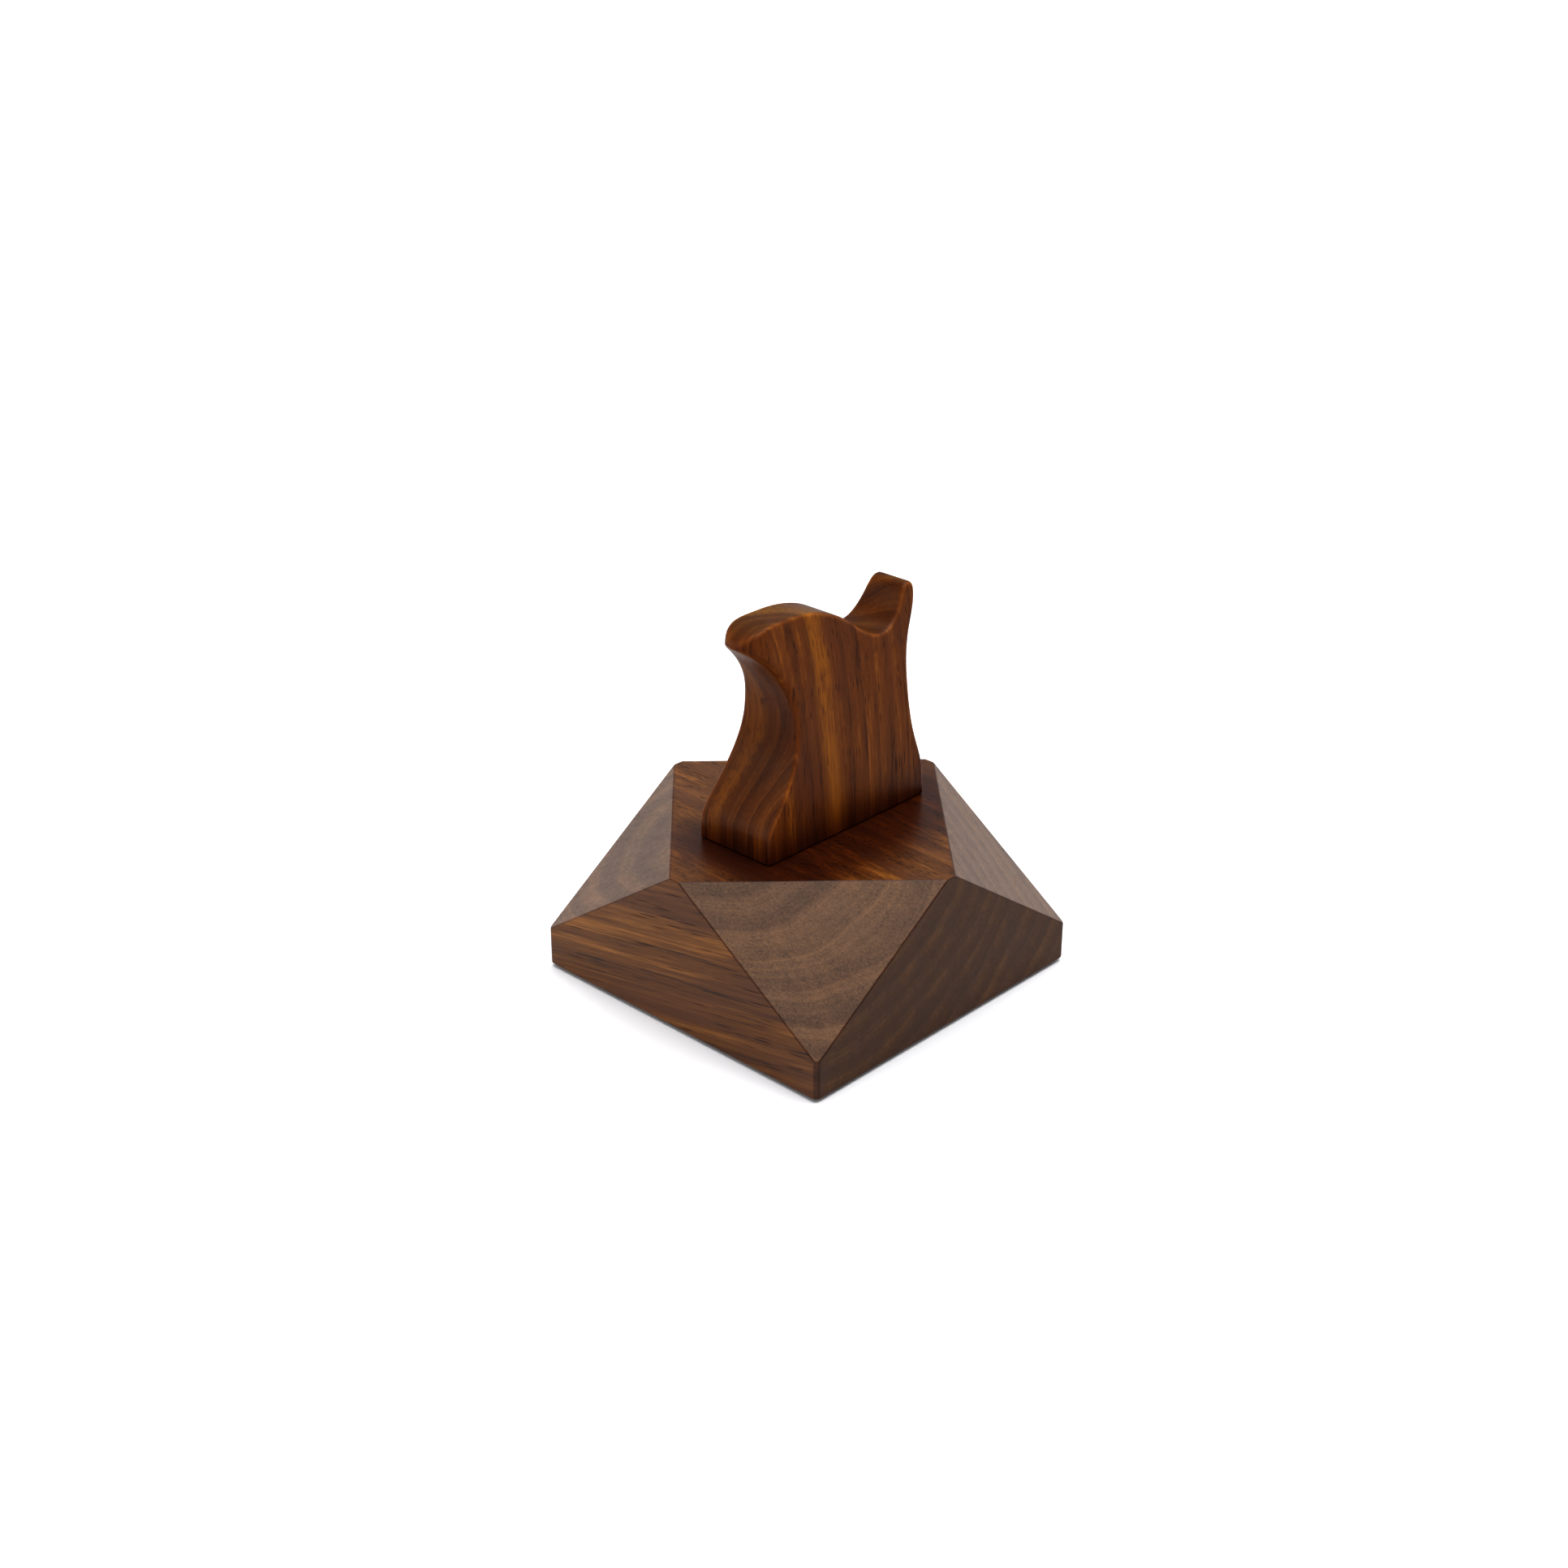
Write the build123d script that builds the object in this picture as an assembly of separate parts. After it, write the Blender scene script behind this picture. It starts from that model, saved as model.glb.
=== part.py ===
from build123d import *
import os
from math import sqrt

# Walnut stand for one pair of spectacles: a faceted square base, and an upright post shaped like the
# bridge of a nose. Millimetres, +Z up. The origin is on the table, under the centre of the base.
# The spectacles look towards -Y, so -Y is the front.

# ---- base block ----
base_side = 114.0            # square footprint, 4 1/2 inches
base_height = 50.0           # 2 inch stock
corner_height = 12.0         # upright edge left at each corner, under the facet
short_edge = 3.2             # what the facets leave of the top's own edge, in the middle of each side
corner_round = 1.6           # easing of the upright corner edges
underside_chamfer = 0.8      # easing of the bottom edges

# ---- post, side view, front half: insets run back from the foot's front, heights up from the base's top ----
post_depth = 69.0            # foot, front to back
post_setback = 2.5           # centre of the foot behind the centre of the base
foot_height = 7.0            # upright stretch at the front and back of the foot
shoulder_inset = 3.0         # the front leans in over a rounded shoulder
shoulder_height = 13.0
sweep_share_in = 0.57        # the sweep from shoulder to waist bulges: it passes this share of the inset
sweep_share_up = 0.365       # at this share of the height
front_waist_inset = 15.1     # where the front is furthest in
front_waist_height = 38.5
crest_inset = 17.0           # top of the saddle that carries the bridge of the spectacles
crest_height = 70.8
nose_reach = 0.5             # the lip of the nose stands ahead of the foot's front
nose_drop = 6.3              # the lip is this far below the crest
brow_inset = 2.2             # the nose rolls over to the crest
brow_drop = 2.5

# ---- post, side view, back half: insets run forward from the foot's back ----
hollow_inset = 14.0          # lowest place of the hollow that the temples lie in
hollow_drop = 14.6           # below the crest
slope_share_along = 0.605    # the saddle's back bulges: it passes this share of the way to the hollow
slope_share_down = 0.44      # at this share of the drop
horn_front_inset = 5.4       # the horn behind the hollow
horn_front_rise = 6.4        # above the hollow
horn_top_inset = 0.2
horn_top_rise = 12.0
horn_back_reach = 1.8        # the horn leans out past the foot's back
horn_back_drop = 2.2         # the round of its back corner
nape_inset = 2.4             # the back draws in below the horn
nape_drop = 14.8             # below the horn's top
back_waist_inset = 4.8       # where the back is furthest in
back_waist_height = 37.0
flare_inset = 3.2            # it flares out again to the foot
flare_height = 21.0

# ---- post, front view ----
foot_width = 28.8            # across the foot
mid_width = 22.4             # across the post at mid_height
mid_height = 40.0
crest_width = 12.4           # across the crest
nose_plan_radius = 8.6       # the nose is round when seen from above

# ---- two wood screws, from below ----
screw_spacing = 28.0         # one behind the other, about the middle of the foot
screw_diameter = 4.2         # outside of the thread
screw_length = 75.0          # under the head, 3 inches
screw_tip_length = 6.0
screw_point_diameter = 0.4
screw_head_diameter = 8.2
screw_head_height = 2.9
screw_head_round = 1.3
recess_width = 1.0           # cross recess for the driver
recess_span = 4.6
recess_depth = 1.7
head_sink = 0.5              # the head's face is this far inside the underside
hole_clearance = 0.25        # around the screw in the base
head_clearance = 0.9         # around the head in its counterbore
pilot_spare = 2.0            # the pilot hole runs on past the tip

# ---- four rubber pads ----
pad_diameter = 16.0
pad_thickness = 2.5
pad_recess = 1.5             # depth that the pad is let into the base
pad_clearance = 0.2          # around the pad in its recess
pad_inset = 16.0             # centre of the pad in from both sides
pad_round = 0.35

# ---- levels and places that follow ----
base_bottom = pad_thickness - pad_recess
base_top = base_bottom + base_height
foot_front = post_setback - post_depth / 2
foot_back = post_setback + post_depth / 2
nose_tip = foot_front - nose_reach
screw_seat = base_bottom + head_sink + screw_head_height
post_grip = screw_length - (base_top - screw_seat)
counterbore_diameter = screw_head_diameter + 2 * head_clearance
screw_places = {
    "front": post_setback - screw_spacing / 2,
    "rear": post_setback + screw_spacing / 2,
}
pad_reach = base_side / 2 - pad_inset
pad_places = {
    "front_left": (-pad_reach, -pad_reach),
    "front_right": (pad_reach, -pad_reach),
    "rear_left": (-pad_reach, pad_reach),
    "rear_right": (pad_reach, pad_reach),
}


def standing_cylinder(diameter, height, x, y, z):
    """A cylinder that stands on the level z."""
    place = Pos(x, y, z)
    return place * Cylinder(diameter / 2, height, align=(Align.CENTER, Align.CENTER, Align.MIN))


def make_facet_cutter():
    """The wood above one facet, before it is turned to its corner: it lies along +X."""
    outer = Vector(base_side / sqrt(2), base_bottom + corner_height)
    inner = Vector((base_side + short_edge) / 2 / sqrt(2), base_top)
    run = outer - inner
    low, high = outer + run, inner - run
    triangle = Plane.XZ * make_face(Polyline(low, high, (low.X, high.Y), close=True))
    return extrude(triangle, amount=base_side, both=True)


def make_base_block():
    """The square block: eased corners, four facets, pad recesses and screw holes."""
    block = Pos(0, 0, base_bottom) * Box(
        base_side, base_side, base_height, align=(Align.CENTER, Align.CENTER, Align.MIN)
    )
    block = fillet(block.edges().filter_by(Axis.Z), corner_round)
    block = chamfer(block.faces().sort_by(Axis.Z)[0].edges(), underside_chamfer)
    cutter = make_facet_cutter()
    for corner in range(4):
        block -= Rot(0, 0, 45 + 90 * corner) * cutter
    for x, y in pad_places.values():
        block -= standing_cylinder(pad_diameter + 2 * pad_clearance, pad_recess, x, y, base_bottom)
    for y in screw_places.values():
        block -= standing_cylinder(counterbore_diameter, screw_seat - base_bottom, 0, y, base_bottom)
        block -= standing_cylinder(screw_diameter + 2 * hole_clearance, base_height, 0, y, base_bottom)
    return block


def share_point(start, end, share_y, share_z):
    """A point between two others, with its own share of the way along and of the way up."""
    return (start[0] + share_y * (end[0] - start[0]), start[1] + share_z * (end[1] - start[1]))


def make_front_edge(crest):
    """The front of the side view, from the toe up over the shoulder, waist and nose to the crest."""
    toe = (foot_front, base_top)
    toe_top = (foot_front, base_top + foot_height)
    shoulder = (foot_front + shoulder_inset, base_top + shoulder_height)
    waist = (foot_front + front_waist_inset, base_top + front_waist_height)
    sweep = share_point(shoulder, waist, sweep_share_in, sweep_share_up)
    lip = (nose_tip, crest[1] - nose_drop)
    brow = (foot_front + brow_inset, crest[1] - brow_drop)
    up, back = (0, 1), (1, 0)
    return [
        Line(toe, toe_top),
        Spline(toe_top, shoulder, sweep, waist, tangents=(up, up)),
        TangentArc(waist, lip, tangent=up),
        Spline(lip, brow, crest, tangents=(up, back)),
    ]


def make_back_edge(crest):
    """The rest of the side view, from the crest through the hollow, over the horn and down to the heel."""
    hollow = (foot_back - hollow_inset, crest[1] - hollow_drop)
    slope = share_point(crest, hollow, slope_share_along, slope_share_down)
    horn_front = (foot_back - horn_front_inset, hollow[1] + horn_front_rise)
    horn_top = (foot_back - horn_top_inset, hollow[1] + horn_top_rise)
    horn_back = (foot_back + horn_back_reach, horn_top[1] - horn_back_drop)
    nape = (foot_back - nape_inset, horn_top[1] - nape_drop)
    waist = (foot_back - back_waist_inset, base_top + back_waist_height)
    flare = (foot_back - flare_inset, base_top + flare_height)
    heel_top = (foot_back, base_top + foot_height)
    heel = (foot_back, base_top)
    back, down = (1, 0), (0, -1)
    return [
        Spline(crest, slope, hollow, tangents=(back, back)),
        Spline(hollow, horn_front, horn_top, tangents=(back, back)),
        TangentArc(horn_top, horn_back, tangent=back),
        Spline(horn_back, nape, waist, flare, heel_top, tangents=(down, down)),
        Line(heel_top, heel),
        Line(heel, (foot_front, base_top)),
    ]


def make_side_view():
    """The post's outline seen from the side, as (Y, Z)."""
    crest = (foot_front + crest_inset, base_top + crest_height)
    return Curve() + make_front_edge(crest) + make_back_edge(crest)


def make_front_view():
    """The post's outline seen from the front: each side is one long arc, carried on above the crest."""
    foot = Vector(foot_width / 2, base_top)
    middle = Vector(mid_width / 2, base_top + mid_height)
    crest = Vector(crest_width / 2, base_top + crest_height)
    arc = ThreePointArc(foot, middle, crest)
    beyond = crest + (arc % 1) * (crest_width / 2)
    left_foot, left_middle, left_crest, left_beyond = (
        Vector(-point.X, point.Y) for point in (foot, middle, crest, beyond)
    )
    return Curve() + [
        arc,
        Line(crest, beyond),
        Line(beyond, left_beyond),
        Line(left_beyond, left_crest),
        ThreePointArc(left_crest, left_middle, left_foot),
        Line(left_foot, foot),
    ]


def make_nose_rounding():
    """The wood that is taken off ahead of the nose to make it round when seen from above."""
    bottom = base_top + front_waist_height
    centre = nose_tip + nose_plan_radius
    block = Pos(0, centre, bottom) * Box(
        2 * foot_width, 4 * nose_plan_radius, crest_height, align=(Align.CENTER, Align.MAX, Align.MIN)
    )
    return block - standing_cylinder(2 * nose_plan_radius, crest_height, 0, centre, bottom)


def make_nose_post():
    """The post: what its side view and its front view share, less the nose's rounding and two pilot holes."""
    from_side = extrude(Plane.YZ * make_face(make_side_view()), amount=foot_width, both=True)
    from_front = extrude(Plane.XZ * make_face(make_front_view()), amount=2 * post_depth, both=True)
    post = from_side & from_front
    post -= make_nose_rounding()
    for y in screw_places.values():
        post -= standing_cylinder(screw_diameter, post_grip + pilot_spare, 0, y, base_top)
    return post


def make_post_screw(y):
    """A pan-head wood screw, head down, its thread drawn as the plain shank that fills the pilot hole."""
    head = standing_cylinder(screw_head_diameter, screw_head_height, 0, y, screw_seat - screw_head_height)
    head = fillet(head.faces().sort_by(Axis.Z)[0].edges(), screw_head_round)
    for turn in (0, 90):
        head -= Pos(0, y, screw_seat - screw_head_height) * Rot(0, 0, turn) * Box(
            recess_span, recess_width, recess_depth, align=(Align.CENTER, Align.CENTER, Align.MIN)
        )
    shank_length = screw_length - screw_tip_length
    shank = standing_cylinder(screw_diameter, shank_length, 0, y, screw_seat)
    tip = Pos(0, y, screw_seat + shank_length) * Cone(
        screw_diameter / 2,
        screw_point_diameter / 2,
        screw_tip_length,
        align=(Align.CENTER, Align.CENTER, Align.MIN),
    )
    return head + shank + tip


def make_foot_pad(x, y):
    """A rubber disc that stands on the table and is let into the base."""
    pad = standing_cylinder(pad_diameter, pad_thickness, x, y, 0)
    return fillet(pad.faces().sort_by(Axis.Z)[0].edges(), pad_round)


nodes = {"base_block": make_base_block(), "nose_post": make_nose_post()}
for place, y in screw_places.items():
    nodes["post_screw_" + place] = make_post_screw(y)
for place, (x, y) in pad_places.items():
    nodes["foot_pad_" + place] = make_foot_pad(x, y)

os.makedirs("parts", exist_ok=True)
for name, shape in nodes.items():
    export_step(shape, "parts/" + name + ".step")
    print(name, round(shape.volume), "mm3")
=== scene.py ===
# %% [markdown]
# # A walnut stand for one pair of spectacles
#
# The real object is two pieces of walnut: a square block with its corners cut away to facets, and a
# carved post shaped like the bridge of a nose. Two screws from below hold the post, and four rubber
# pads stand under the block. The CAD model already fixes every size and place. This file keeps those
# and gives each piece the surface that the real one has.
#
# Lengths are metres in Blender. Where wood is measured it is easier to think in millimetres, so `mm`
# turns one into the other.

# %% The frame: the CAD model and its box
import bpy
import bmesh
import math
import numpy as np
from mathutils import Matrix, Vector


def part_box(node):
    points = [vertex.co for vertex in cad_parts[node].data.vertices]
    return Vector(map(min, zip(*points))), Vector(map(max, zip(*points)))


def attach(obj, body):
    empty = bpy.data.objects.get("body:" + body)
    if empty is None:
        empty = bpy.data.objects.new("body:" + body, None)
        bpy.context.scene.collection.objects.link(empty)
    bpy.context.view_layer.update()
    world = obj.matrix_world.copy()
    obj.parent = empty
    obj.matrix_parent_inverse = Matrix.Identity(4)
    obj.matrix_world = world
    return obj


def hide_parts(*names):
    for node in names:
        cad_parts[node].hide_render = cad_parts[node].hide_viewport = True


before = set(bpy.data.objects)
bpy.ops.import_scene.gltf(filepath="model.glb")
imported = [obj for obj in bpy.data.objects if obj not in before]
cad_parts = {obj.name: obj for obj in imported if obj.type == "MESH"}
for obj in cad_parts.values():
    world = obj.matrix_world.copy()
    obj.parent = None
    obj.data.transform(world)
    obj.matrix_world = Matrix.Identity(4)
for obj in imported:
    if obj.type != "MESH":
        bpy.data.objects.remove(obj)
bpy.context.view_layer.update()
mm = 0.001
scene = bpy.context.scene
print("CAD nodes:", sorted(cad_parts))

# %% [markdown]
# ## Camera
#
# A stand this small is looked at from close by, a little from above, with one corner of the block
# towards the viewer. The camera could be turned by hand until it looks right. It is placed by
# numbers instead: a direction round the stand, a height above the table and a distance, so that each
# of them can be changed alone.

# %% Camera
camera_azimuth = math.radians(43.557)
camera_elevation = math.radians(25.605)
camera_roll = math.radians(0.122)
camera_distance = 798 * mm
camera_aim = Vector((-60.6, 53.0, 23.8)) * mm
lens_length = 53.78

towards_camera = Vector((
    math.sin(camera_azimuth) * math.cos(camera_elevation),
    -math.cos(camera_azimuth) * math.cos(camera_elevation),
    math.sin(camera_elevation),
))
camera_data = bpy.data.cameras.new("camera")
camera_data.lens = lens_length
camera_data.sensor_width = 36.0
camera_data.clip_start = 0.01
camera = bpy.data.objects.new("camera", camera_data)
camera.rotation_mode = "QUATERNION"
turn = towards_camera.to_track_quat("Z", "Y").to_matrix() @ Matrix.Rotation(camera_roll, 3, "Z")
camera.rotation_quaternion = turn.to_quaternion()
camera.location = camera_aim + towards_camera * camera_distance
scene.collection.objects.link(camera)
scene.camera = camera
print("camera at mm:", [round(value / mm, 1) for value in camera.location])

# %% [markdown]
# ## Small helpers for meshes
#
# Every piece below ends as a plain mesh whose object stays at the origin, unturned and unscaled, so
# that its place is in its points. These helpers do that work. They make an object from points and faces,
# turn live modifiers into plain mesh, lay a closed skin over rings of points, which suits anything that
# is round about an upright axis, cut one shape out of another, and hand a finished piece over.

# %% Mesh helpers
def new_piece(name, points, faces):
    """A mesh object at the origin, from points in metres and faces as tuples of their numbers."""
    mesh = bpy.data.meshes.new(name)
    mesh.from_pydata(points, [], faces)
    mesh.update()
    piece = bpy.data.objects.new(name, mesh)
    scene.collection.objects.link(piece)
    return piece


def settle(piece):
    """Applies what the piece's modifiers show, and removes them."""
    graph = bpy.context.evaluated_depsgraph_get()
    finished = bpy.data.meshes.new_from_object(piece.evaluated_get(graph))
    piece.modifiers.clear()
    old_mesh = piece.data
    piece.data = finished
    finished.name = piece.name
    bpy.data.meshes.remove(old_mesh)


def ring(radius, height, centre, sides):
    """Points of one ring about an upright axis. The radius may be a function of the angle."""
    points = []
    for step in range(sides):
        angle = 2 * math.pi * step / sides
        reach = radius(angle) if callable(radius) else radius
        points.append((centre[0] + reach * math.cos(angle), centre[1] + reach * math.sin(angle), height))
    return points


def skin_of_rings(rings, low_point, high_point):
    """A closed skin through rings from low to high, with a point at each end. Faces turn outwards."""
    sides = len(rings[0])
    points = [point for one_ring in rings for point in one_ring] + [low_point, high_point]
    low_number, high_number = len(points) - 2, len(points) - 1
    faces = []
    for step in range(sides):
        after = (step + 1) % sides
        faces.append((low_number, after, step))
        for level in range(len(rings) - 1):
            here, above = level * sides, (level + 1) * sides
            faces.append((here + step, here + after, above + after, above + step))
        top = (len(rings) - 1) * sides
        faces.append((high_number, top + step, top + after))
    return points, faces


def lathe(profile, centre, sides):
    """A closed turned shape. The profile is (radius, height) from low to high, both in metres."""
    rings = [ring(radius, height, centre, sides) for radius, height in profile]
    low, high = profile[0][1], profile[-1][1]
    return skin_of_rings(rings, (centre[0], centre[1], low), (centre[0], centre[1], high))


def cut_away(piece, cutter):
    """Takes the cutter's shape out of the piece, and removes the cutter."""
    cut = piece.modifiers.new("cut", "BOOLEAN")
    cut.operation = "DIFFERENCE"
    cut.solver = "EXACT"
    cut.object = cutter
    settle(piece)
    bpy.data.objects.remove(cutter)


def smooth_with_flat_faces(piece, sharp_angle):
    """Smooth shading that keeps big flat faces flat and edges past the angle sharp."""
    mesh = piece.data
    mesh.polygons.foreach_set("use_smooth", [True] * len(mesh.polygons))
    mesh.set_sharp_from_angle(angle=math.radians(sharp_angle))
    weighted = piece.modifiers.new("weighted", "WEIGHTED_NORMAL")
    weighted.keep_sharp = True
    settle(piece)


def finish_piece(piece, nodes, material):
    """Gives the piece its material, hides the CAD nodes it stands for, and lets it ride."""
    piece.data.materials.clear()
    piece.data.materials.append(material)
    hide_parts(*nodes)
    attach(piece, "root")
    print(piece.name, "has", len(piece.data.vertices), "points and", len(piece.data.polygons), "faces")


# %% [markdown]
# ## Small helpers for materials
#
# A shader is a small calculation that runs at each point of a surface. Written out node by node it is
# hard to read, so these helpers let the file say `math_node(tree, "ADD", a, b)` and pass sockets or
# plain numbers alike.

# %% Material helpers
def feed(tree, socket, value):
    """Links a socket to another, or sets it to a plain value."""
    if isinstance(value, bpy.types.NodeSocket):
        tree.links.new(value, socket)
    else:
        socket.default_value = value


def math_node(tree, operation, first, second=0.0, third=0.0, clamp=False):
    """One step of arithmetic on numbers."""
    node = tree.nodes.new("ShaderNodeMath")
    node.operation = operation
    node.use_clamp = clamp
    for socket, value in zip(node.inputs, (first, second, third)):
        feed(tree, socket, value)
    return node.outputs[0]


def vector_node(tree, operation, first, second=(0.0, 0.0, 0.0), scale=None):
    """One step of arithmetic on vectors. Dot products and lengths come out as numbers."""
    node = tree.nodes.new("ShaderNodeVectorMath")
    node.operation = operation
    feed(tree, node.inputs[0], first)
    if scale is None:
        feed(tree, node.inputs[1], second)
    else:
        feed(tree, node.inputs["Scale"], scale)
    is_number = operation in ("DOT_PRODUCT", "LENGTH")
    return node.outputs["Value" if is_number else "Vector"]


def noise_node(tree, vector, scale, detail=2.0, roughness=0.5):
    """Soft random values from 0 to 1, most of them near the middle."""
    node = tree.nodes.new("ShaderNodeTexNoise")
    feed(tree, node.inputs["Vector"], vector)
    node.inputs["Scale"].default_value = scale
    node.inputs["Detail"].default_value = detail
    node.inputs["Roughness"].default_value = roughness
    return node.outputs[0]


def rise(tree, value, start, end, low=0.0, high=1.0):
    """A smooth step: low up to start, high past end."""
    node = tree.nodes.new("ShaderNodeMapRange")
    node.interpolation_type = "SMOOTHSTEP"
    names = ("Value", "From Min", "From Max", "To Min", "To Max")
    for name, given in zip(names, (value, start, end, low, high)):
        feed(tree, node.inputs[name], given)
    return node.outputs["Result"]


def blend_colours(tree, share, first, second, blend="MIX"):
    """Mixes two colours."""
    node = tree.nodes.new("ShaderNodeMix")
    node.data_type = "RGBA"
    node.blend_type = blend
    feed(tree, node.inputs[0], share)
    feed(tree, node.inputs[6], first)
    feed(tree, node.inputs[7], second)
    return node.outputs[2]


def new_group(name, inputs, outputs):
    """A shader node group with named sockets. Returns the group, its inputs and its output node."""
    group = bpy.data.node_groups.new(name, "ShaderNodeTree")
    for label, (kind, value) in inputs.items():
        socket = group.interface.new_socket(label, in_out="INPUT", socket_type=kind)
        socket.default_value = value
    for label, kind in outputs.items():
        group.interface.new_socket(label, in_out="OUTPUT", socket_type=kind)
    return group, group.nodes.new("NodeGroupInput").outputs, group.nodes.new("NodeGroupOutput")


def new_material(name):
    """A material with an empty tree but for its Principled BSDF and output."""
    material = bpy.data.materials.new(name)
    material.use_nodes = True
    tree = material.node_tree
    return material, tree, tree.nodes["Principled BSDF"]


def place_group(tree, group, values):
    """Puts a group into a material's tree with its own values."""
    node = tree.nodes.new("ShaderNodeGroup")
    node.node_tree = group
    for label, value in values.items():
        feed(tree, node.inputs[label], value)
    return node.outputs


# %% [markdown]
# ## Walnut
#
# Wood isn't a picture wrapped round a block. It is solid, so the pattern on each face follows from
# where that face cuts through the tree. The group below rebuilds a piece of the tree: growth rings
# round the pith, which is the line up the middle of the trunk, fibres along it, and pores between the
# fibres. A face along the fibres then shows long streaks, a face across them shows arcs and specks, and
# a slanting facet shows something between, with no seam at the edges.
#
# An image would be quicker, but it can't turn a corner. The group is used twice, with the pith in a
# different place for the block and for the post, because they are cut from different boards.
#
# Three more things are laid over the figure: torn fibre ends and a painted sheen on slanting faces, edges
# that sanding changed, lighter on the post as a painted highlight, and painted shade.

# %% The walnut figure, as a node group. Sizes of its patterns across the fibre are in mm
slow_bend, quick_bend = 26, 7
broad_streak, thin_streak, dash_streak, hair_streak = 5, 1.2, 0.42, 0.34
season_gap, pore_gap, blush_patch, fuzz_size = 0.9, 0.85, 14, 0.55


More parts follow.
